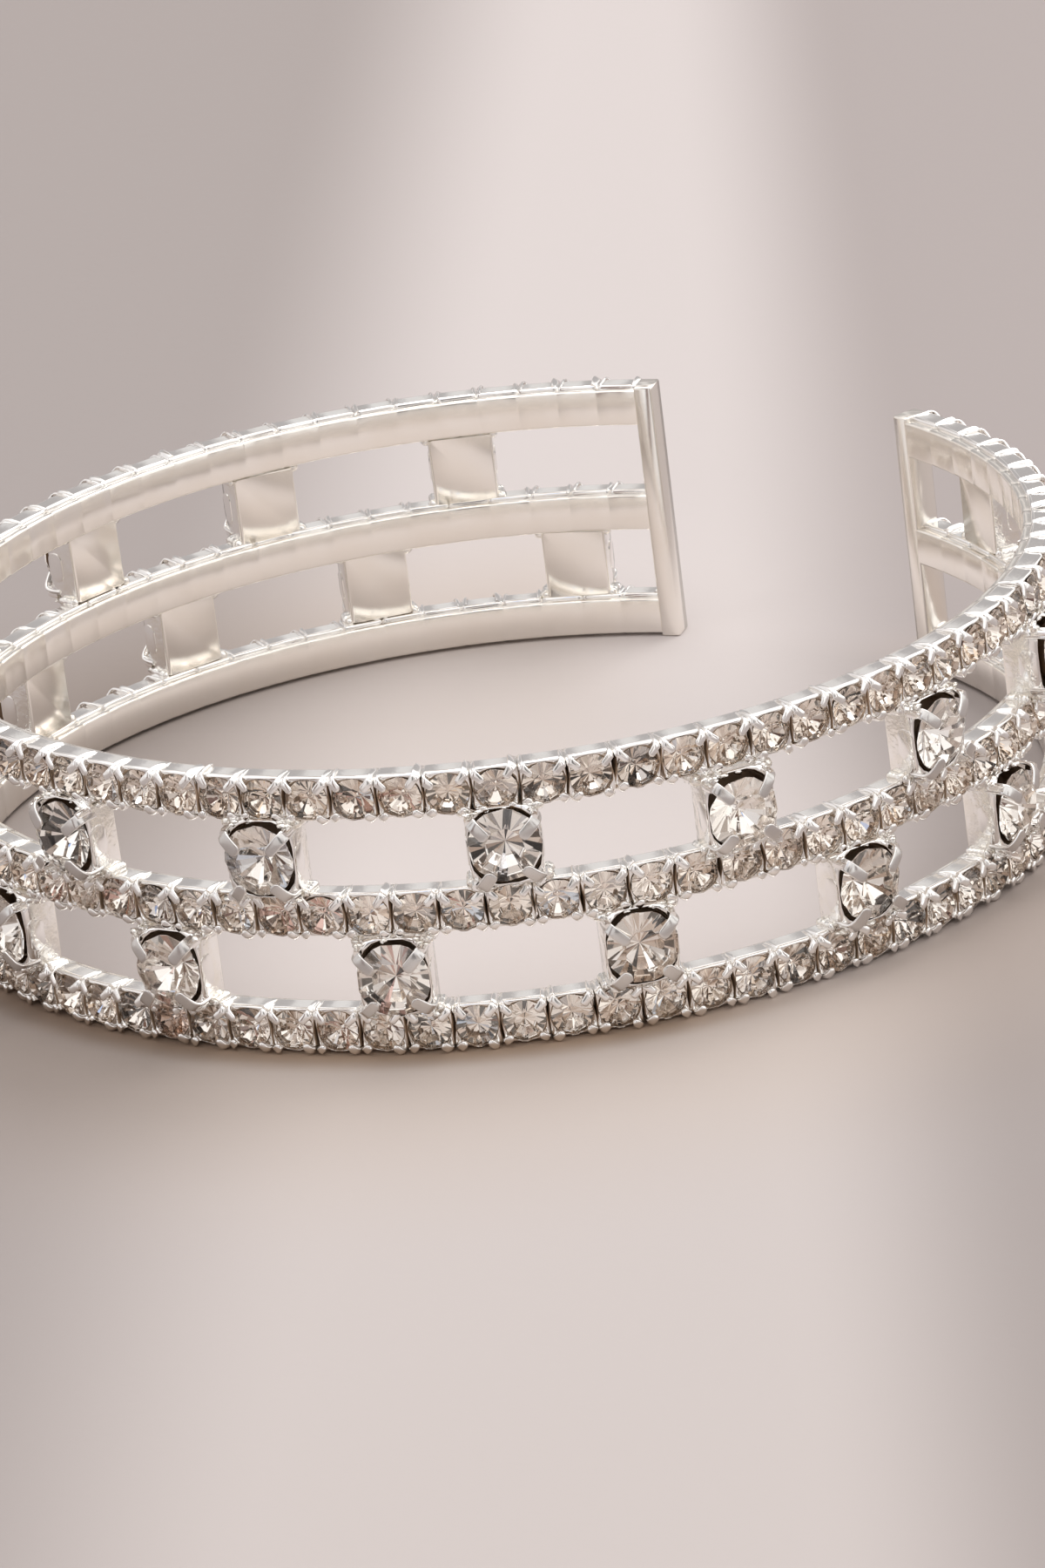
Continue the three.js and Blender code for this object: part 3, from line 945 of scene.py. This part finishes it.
def claw(knees, width, thickness, end, steps):
    """A claw along the diagonal, its path given by a few knees of (distance, height, width share)."""
    knees = np.array(knees)
    marks = np.arange(len(knees))
    fine = np.linspace(0, len(knees) - 1, (len(knees) - 1) * steps + 1)
    smooth = [np.interp(fine, marks, knees[:, column]) for column in range(3)]
    for _ in range(2):
        for values in smooth:
            values[1:-1] = (values[:-2] + 2 * values[1:-1] + values[2:]) / 4
    path = np.column_stack(smooth[:2])
    walked = np.concatenate([[0], np.cumsum(np.linalg.norm(np.diff(path, axis=0), axis=1))])
    tip = walked[-1] - end * (1 - TIP_STEPS)[::-1]
    keep = walked[walked < tip[0] - 0.02]
    at = np.concatenate([keep, np.sort(tip), [walked[-1]]])
    path = np.column_stack([np.interp(at, walked, path[:, column]) for column in range(2)])
    widths = round_end(at, width, end) * np.interp(at, walked, smooth[2])
    thick = thickness * np.sqrt(np.clip((at[-1] - at) / (0.35 * thickness), 0.15, 1))
    return path, widths, thick


def pressed(path, reach):
    """The same claw pressed further over the stone, or less far, for a reach over or under 1."""
    knee = PRESSED_FROM * path[:, 0].max()
    path = path.copy()
    over = path[:, 0] < knee
    path[over, 0] = knee - (knee - path[over, 0]) * reach
    return path


upper_claw = claw(
    [
        (1.51, -1.12, 1.0), (1.56, -0.8, 1.25), (1.58, -0.15, 1.35), (1.53, 0.13, 1.2),
        (1.39, 0.26, 1.05), (1.18, 0.32, 1.0), (1.0, 0.36, 1.0), (0.80, 0.39, 0.95),
    ],
    width=0.42, thickness=0.18, end=0.17, steps=3,
)
lower_claw = claw(
    [
        (1.38, -0.5, 0.6), (1.42, -0.1, 0.8), (1.43, 0.16, 1.0), (1.33, 0.32, 1.0),
        (1.13, 0.40, 1.0), (0.90, 0.42, 1.0),
    ],
    width=0.43, thickness=0.26, end=0.2, steps=3,
)
print("points along an upper and a lower claw:", len(upper_claw[0]), len(lower_claw[0]))

# %% [markdown]
# No two claws are pressed alike: one points a little aside, reaches further or is broader than the
# next. Those three chances are drawn for each claw.

# %% Set the small claws
CORNERS = ((1, 1), (-1, 1), (-1, -1), (1, -1))
CLAW_LIMIT = PITCH / 2 - 0.015


def one_claw(bend, corner, aside, reach, broad, finishes, **section):
    """A claw on one corner of a cup. aside, reach and broad give the range of each chance."""
    path, widths, thick = bend
    sx, sy = corner
    heading = (sx * (1 + draw.gauss(0, aside)), sy)
    path = pressed(path, draw.uniform(*reach))
    return strip(path, widths * draw.uniform(*broad), thick, heading, finishes, **section)


for row, row_name in enumerate(ROW_NAMES):
    shape = Shape()
    for where in cup_places[row]:
        matrix = on_oval(**where)
        for corner in CORNERS:
            bend = upper_claw if corner[1] > 0 else lower_claw
            one = one_claw(bend, corner, 0.10, (0.88, 1.15), (0.9, 1.08), (CLAW, CLAW))
            one.corners = [(max(-CLAW_LIMIT, min(CLAW_LIMIT, x)), y, z) for x, y, z in one.corners]
            shape.add_shape(one, matrix)
    make_silver_piece(f"{row_name}_claws", shape, 60)

# %% [markdown]
# ## The small stones
# They are pressed in by hand or machine, so no two lie the same: each is turned freely about its
# axis and tipped a few degrees. Their foil is a little warmer than that of the large stones. Each
# row is one length of chain, and its foil carries a painted tint for the light that row gets: the
# upper row's is painted darkest and the lower two lighter. About one stone in fifty came from a
# warmer batch.

# %% Small stones
SMALL_CUT = dict(radius=1.11, table=0.61, crown=0.34, girdle=0.06, pavilion=0.90, rare=0.13, dark=0.035)
SMALL_TIPS = 0.045
# Painted light and shade for each row's stones: the upper row darker, the lower two lighter.
ROW_LIGHT_TINTS = {
    "lower_row": (1.0, 0.982, 0.962),
    "middle_row": (1.0, 0.978, 0.955),
    "upper_row": (0.975, 0.948, 0.92),
}
WARM_BATCH = (0.985, 0.94, 0.92)
WARM_SHARE = 1 / 50


def tinted(shape, by):
    """Multiplies all of a shape's tints by one more."""
    shape.tints = [tuple(a * b for a, b in zip(tint, by)) for tint in shape.tints]
    return shape


def turned_freely(where, tips):
    """The same place, but turned by any angle and tipped by a few hundredths of a radian."""
    return dict(where, spin=draw.uniform(0, math.pi), tilt=(draw.gauss(0, tips), draw.gauss(0, tips)))


for row, row_name in enumerate(ROW_NAMES):
    shape = Shape()
    for where in cup_places[row]:
        stone = tinted(cut_stone(**SMALL_CUT, draw=draw), ROW_LIGHT_TINTS[row_name])
        if draw.random() < WARM_SHARE:
            stone = tinted(stone, WARM_BATCH)
        shape.add_shape(stone, on_oval(**turned_freely(where, SMALL_TIPS)))
    make_piece(f"{row_name}_stones", shape, STONE_FINISHES, "cuff_frame")

# %% [markdown]
# ## The large cups
# A large cup is a deeper square box, soldered between two rows. Its side walls carry a smooth oval
# panel where the stamp pressed them, framed by solder that ran round it. The rim stands almost a
# millimetre in front of the rows, and the four corners go on upward as posts for the claws.
#
# The mouth is nearly round. Its upper wall is bent up and its middle sunk back, so that a dark
# crescent shows above the stone. A loft can't do that by itself, so the wall's corners are moved
# afterwards, by a share that grows towards the rim and towards the middle.

# %% A large cup
GAP_HALF = (ROW_SPACING - ROW_HEIGHT) / 2
LARGE_HALF = 1.86
LARGE_RIM = 0.8
LARGE_BACK = -1.2
UPPER_WALL_BENT = 0.2
UPPER_WALL_SUNK = 0.38
POST_IN = 0.2


def large_cup():
    """A cup round the origin, open to the front, without its posts and panels."""
    x, y = LARGE_HALF, GAP_HALF + 0.02
    cup = loft(
        [
            (x - 0.16, y, 0.16, LARGE_BACK),
            (x - 0.08, y, 0.18, LARGE_BACK + 0.04),
            (x - 0.04, y, 0.18, LARGE_BACK + 0.14),
            (x, y, 0.2, -0.3),
            (x, y, 0.2, 0.05),
            (x, y, 0.5, LARGE_RIM - 0.5),
            (x, y, 0.85, LARGE_RIM - 0.14),
            (x - 0.02, y - 0.02, 1.05, LARGE_RIM - 0.05),
            (x - 0.06, y - 0.06, 1.2, LARGE_RIM),
            (x - 0.10, y - 0.10, 1.3, LARGE_RIM - 0.02),
            (x - 0.12, y - 0.13, 1.4, LARGE_RIM - 0.12),
            (x - 0.12, y - 0.13, 1.4, 0.0),
            (x - 0.16, y - 0.16, 1.4, -0.75),
        ],
        # The two rings inside the cup carry painted shade.
        [WORN] * 2 + [SOLDERED] * 3 + [METAL] * 5 + [SHADED_INSIDE] * 2,
        steps=4,
    )
    corners = np.array(cup.corners)
    upper = corners[:, 1] > 0
    front = np.clip((corners[:, 2] - 0.05) / (LARGE_RIM - 0.55), 0, 1) * upper
    middle = np.clip(1 - (corners[:, 0] / 1.5) ** 2, 0, 1)
    corners[:, 1] += UPPER_WALL_BENT * front
    corners[:, 2] -= UPPER_WALL_SUNK * front * middle
    cup.corners = list(map(tuple, corners))
    return cup


def on_side_wall(sign):
    """The matrix for a panel: its front turns to face along the cuff, and its width runs outward."""
    place = moved(sign * LARGE_HALF, 0, LARGE_RIM - 0.58)
    place[:3, :3] = [[0, 0, sign], [0, 1, 0], [-sign, 0, 0]]
    return place


large = large_cup()
panel = loft([(0.52, 0.86, 0.48, 0.0), (0.52, 0.86, 0.48, 0.03), (0.46, 0.80, 0.44, 0.055)], steps=5)
post = loft([(0.2, 0.2, 0.1, 0.5), (0.2, 0.2, 0.1, 1.0), (0.15, 0.15, 0.1, 1.3)], steps=2)
for sign in (-1, 1):
    large.add_shape(panel, on_side_wall(sign))
for sx, sy in CORNERS:
    large.add_shape(post, moved(sx * (LARGE_HALF - POST_IN), sy * (GAP_HALF - POST_IN)))
print("a large cup has", len(large.faces), "faces")

# %% [markdown]
# Soldered by hand, each large cup sits a little off the middle of its gap. The worst eight, all in
# front, are listed. The others are off by chance, a few hundredths of a millimetre. The stone takes
# the whole of that shift, and the cup takes its height only in part, as its gap holds it.

# %% Set out the large cups
# How far along the row, and up, in mm.
OFF_MIDDLE = {
    "upper_stone_08": (-0.15, 0.11),
    "upper_stone_09": (0.13, 0.36),
    "upper_stone_10": (0.0, -0.30),
    "upper_stone_11": (0.30, 0.0),
    "lower_stone_08": (-0.20, -0.05),
    "lower_stone_09": (-0.10, -0.10),
    "lower_stone_10": (0.15, 0.12),
    "lower_stone_11": (0.60, 0.10),
}
CUP_SHARE = 0.6
gap_middle = {"lower": row_height(0.5), "upper": row_height(1.5)}
seats = {}
for name in large_stations:
    by_chance = (draw.gauss(0, 0.08), draw.gauss(0.03, 0.08))
    seats[name] = OFF_MIDDLE.get(name, by_chance)
large_cup_places = {
    name: dict(
        stones=stones,
        height=gap_middle[gap_of(name)],
        tilt=(draw.gauss(0, 0.012), draw.gauss(0, 0.012)),
        shift=(seats[name][0], CUP_SHARE * seats[name][1], 0.0),
    )
    for name, stones in large_stations.items()
}


def cups_of(gap):
    """Where the large cups of one gap stand."""
    return [where for name, where in large_cup_places.items() if gap_of(name) == gap]


for gap in gap_middle:
    shape = Shape()
    for where in cups_of(gap):
        shape.add_shape(large, on_oval(**where))
    make_silver_piece(f"{gap}_large_cups", shape, 50)

# %% [markdown]
# ## The large claws
# These are flat straps with round ends, and reach almost to the table. Their edges are rolled over a
# little, and the middle of each face is painted greyer, as painted shade, so each one shows a grey
# middle inside a bright border. They could be cut from a flat sheet and bent by a modifier, but the
# strip that made the small claws does both at once. Only its knees, its width and its finishes change.

# %% Large claws
large_claw = claw(
    [
        (2.34, 0.2, 0.9), (2.38, 0.85, 0.95), (2.33, 1.24, 1.0), (2.12, 1.46, 1.0),
        (1.84, 1.56, 1.0), (1.54, 1.63, 1.0), (1.15, 1.70, 1.0),
    ],
    width=0.62, thickness=0.20, end=0.27, steps=4,
)
# The middle of each claw's face takes the finish of painted shade.
STRAP = dict(finishes=(CLAW, CLAW_SHADED_MIDDLE), sides=14, squareness=0.4)
for gap in gap_middle:
    shape = Shape()
    for where in cups_of(gap):
        matrix = on_oval(**where)
        for corner in CORNERS:
            one = one_claw(large_claw, corner, 0.12, (0.88, 1.12), (0.88, 1.12), **STRAP)
            shape.add_shape(one, matrix)
    make_silver_piece(f"{gap}_large_claws", shape, 50)

# %% [markdown]
# ## The large stones
# They have the same cut as the small ones, with a broader table. Each is a piece of its own, as it's
# a part of its own on the bracelet, so it can be found, turned or swapped by name.

# %% Large stones
LARGE_CUT = dict(radius=1.88, table=1.05, crown=0.55, girdle=0.08, pavilion=1.5, rare=0.12, dark=0.05)
LARGE_TIPS = 0.065
LARGE_GIRDLE_OUT = 0.95
SLIGHTLY_WARM = (1.0, 0.993, 0.984)
for name, where in large_cup_places.items():
    stone = tinted(cut_stone(**LARGE_CUT, draw=draw), SLIGHTLY_WARM)
    own = turned_freely(where, LARGE_TIPS)
    own["shift"] = (*seats[name], LARGE_GIRDLE_OUT)
    own["height"] = large_height[gap_of(name)]
    shape = Shape().add_shape(stone, on_oval(**own))
    make_piece(f"{name}_cut", shape, STONE_FINISHES, name)

# %% [markdown]
# ## Solder
# Where a large cup meets a row the solder stands in small bright beads, and where its side walls
# stand on the row it ran into smooth fillets. A bead is a ball with its corners pushed in and out a
# little, and a fillet is a short rod whose thickness wanders. Metaballs would melt together as real
# solder does, but these are so small, and overlap so much, that their joins don't show.

# %% A bead and a fillet of solder
def bead(radius, flatten, draw):
    """A lumpy ball of solder, made of rings, flatter up and down and longer along the row."""
    rings, sides = 5, 8
    corners = []
    for ring in range(rings + 1):
        polar = math.pi * (ring + 0.35) / (rings + 0.7)
        for i in range(sides):
            angle = 2 * math.pi * i / sides
            r = radius * draw.uniform(0.74, 1.2)
            x, y = r * math.sin(polar) * math.cos(angle), r * math.sin(polar) * math.sin(angle)
            corners.append((x * (1.9 - flatten), y * flatten, -r * math.cos(polar)))
    return Shape().add(corners, loft_faces(rings + 1, sides), SOLDERED)


def fillet(start, end, radius, draw):
    """A rod of solder from one depth to another, thicker and thinner on the way."""
    rings, sides = 14, 10
    corners = []
    size, sway = radius, 0.0
    for ring in range(rings):
        share = ring / (rings - 1)
        z = start + (end - start) * share
        size += draw.uniform(-0.035, 0.035) + 0.3 * (radius - size)
        sway += draw.uniform(-0.02, 0.02) - 0.3 * sway
        closing = math.sqrt(max(1 - abs(2 * share - 1) ** 6, 0.03))
        for i in range(sides):
            angle = 2 * math.pi * i / sides
            r = size * closing * draw.uniform(0.96, 1.04)
            corners.append((r * math.cos(angle) + sway, r * math.sin(angle), z))
    return Shape().add(corners, loft_faces(rings, sides), SOLDERED)


print("a bead has", len(bead(1, 1, random.Random(1)).faces), "faces")

# %% Solder the large cups to the rows
BEADS_PER_JOINT = 18
AT_A_CORNER = 0.6
BEAD_RADIUS = (0.11, 0.25)
BEAD_FLATTENED = (0.45, 0.85)
DEEP_JOINT, SHALLOW_JOINT = 0.9, 0.45
shape = Shape()
for where in large_cup_places.values():
    matrix = on_oval(**where)
    for side_up in (-1, 1):
        for _ in range(BEADS_PER_JOINT):
            at_corner = draw.random() < AT_A_CORNER
            if at_corner:
                x = draw.choice((-1, 1)) * draw.uniform(1.2, 1.9)
            else:
                x = draw.uniform(-1.5, 1.5)
            y = side_up * (GAP_HALF + draw.uniform(0.0, 0.2))
            one = bead(draw.uniform(*BEAD_RADIUS), draw.uniform(*BEAD_FLATTENED), draw)
            in_front = DEEP_JOINT if at_corner or side_up < 0 else SHALLOW_JOINT
            shape.add_shape(one, matrix @ moved(x, y, draw.uniform(0.0, in_front)))
        for side in (-1, 1):
            x = side * (LARGE_HALF + draw.uniform(0.04, 0.12))
            one = fillet(-1.25, draw.uniform(0.1, 0.35), draw.uniform(0.24, 0.34), draw)
            shape.add_shape(one, matrix @ moved(x, side_up * (GAP_HALF - 0.03)))
make_silver_piece("solder_beads", shape, 80)

# %% [markdown]
# ## The end bars
# A plain bar closes each end, so nothing scratches. Its edges are only just broken. A cube with a
# bevel would do, but the loft that made the cups gives the bar and its broken edges in one go.

# %% End bars
BAR_WIDTH = 1.1
BAR_EDGE = 0.08
cuff_height = row_height(2) + ROW_HEIGHT / 2
half, tall = BAR_WIDTH / 2, cuff_height / 2
bar = loft(
    [
        (half - BAR_EDGE, tall - BAR_EDGE, 0.1, BAND_BACK),
        (half, tall, 0.12, -1.58),
        (half, tall, 0.12, -0.2),
        (half - BAR_EDGE, tall - BAR_EDGE, 0.1, -0.1),
    ],
    [WORN] * 3,
)
shape = Shape()
for stones, sign in ((0.0, -1), (float(STONES_PER_ROW), 1)):
    shape.add_shape(bar, on_oval(stones, tall) @ moved(sign * (half - 0.05), 0))
make_silver_piece("end_bars", shape, 50)

# %% [markdown]
# ## The last update
# The scene is brought up to date once every piece is in place.

bpy.context.view_layer.update()
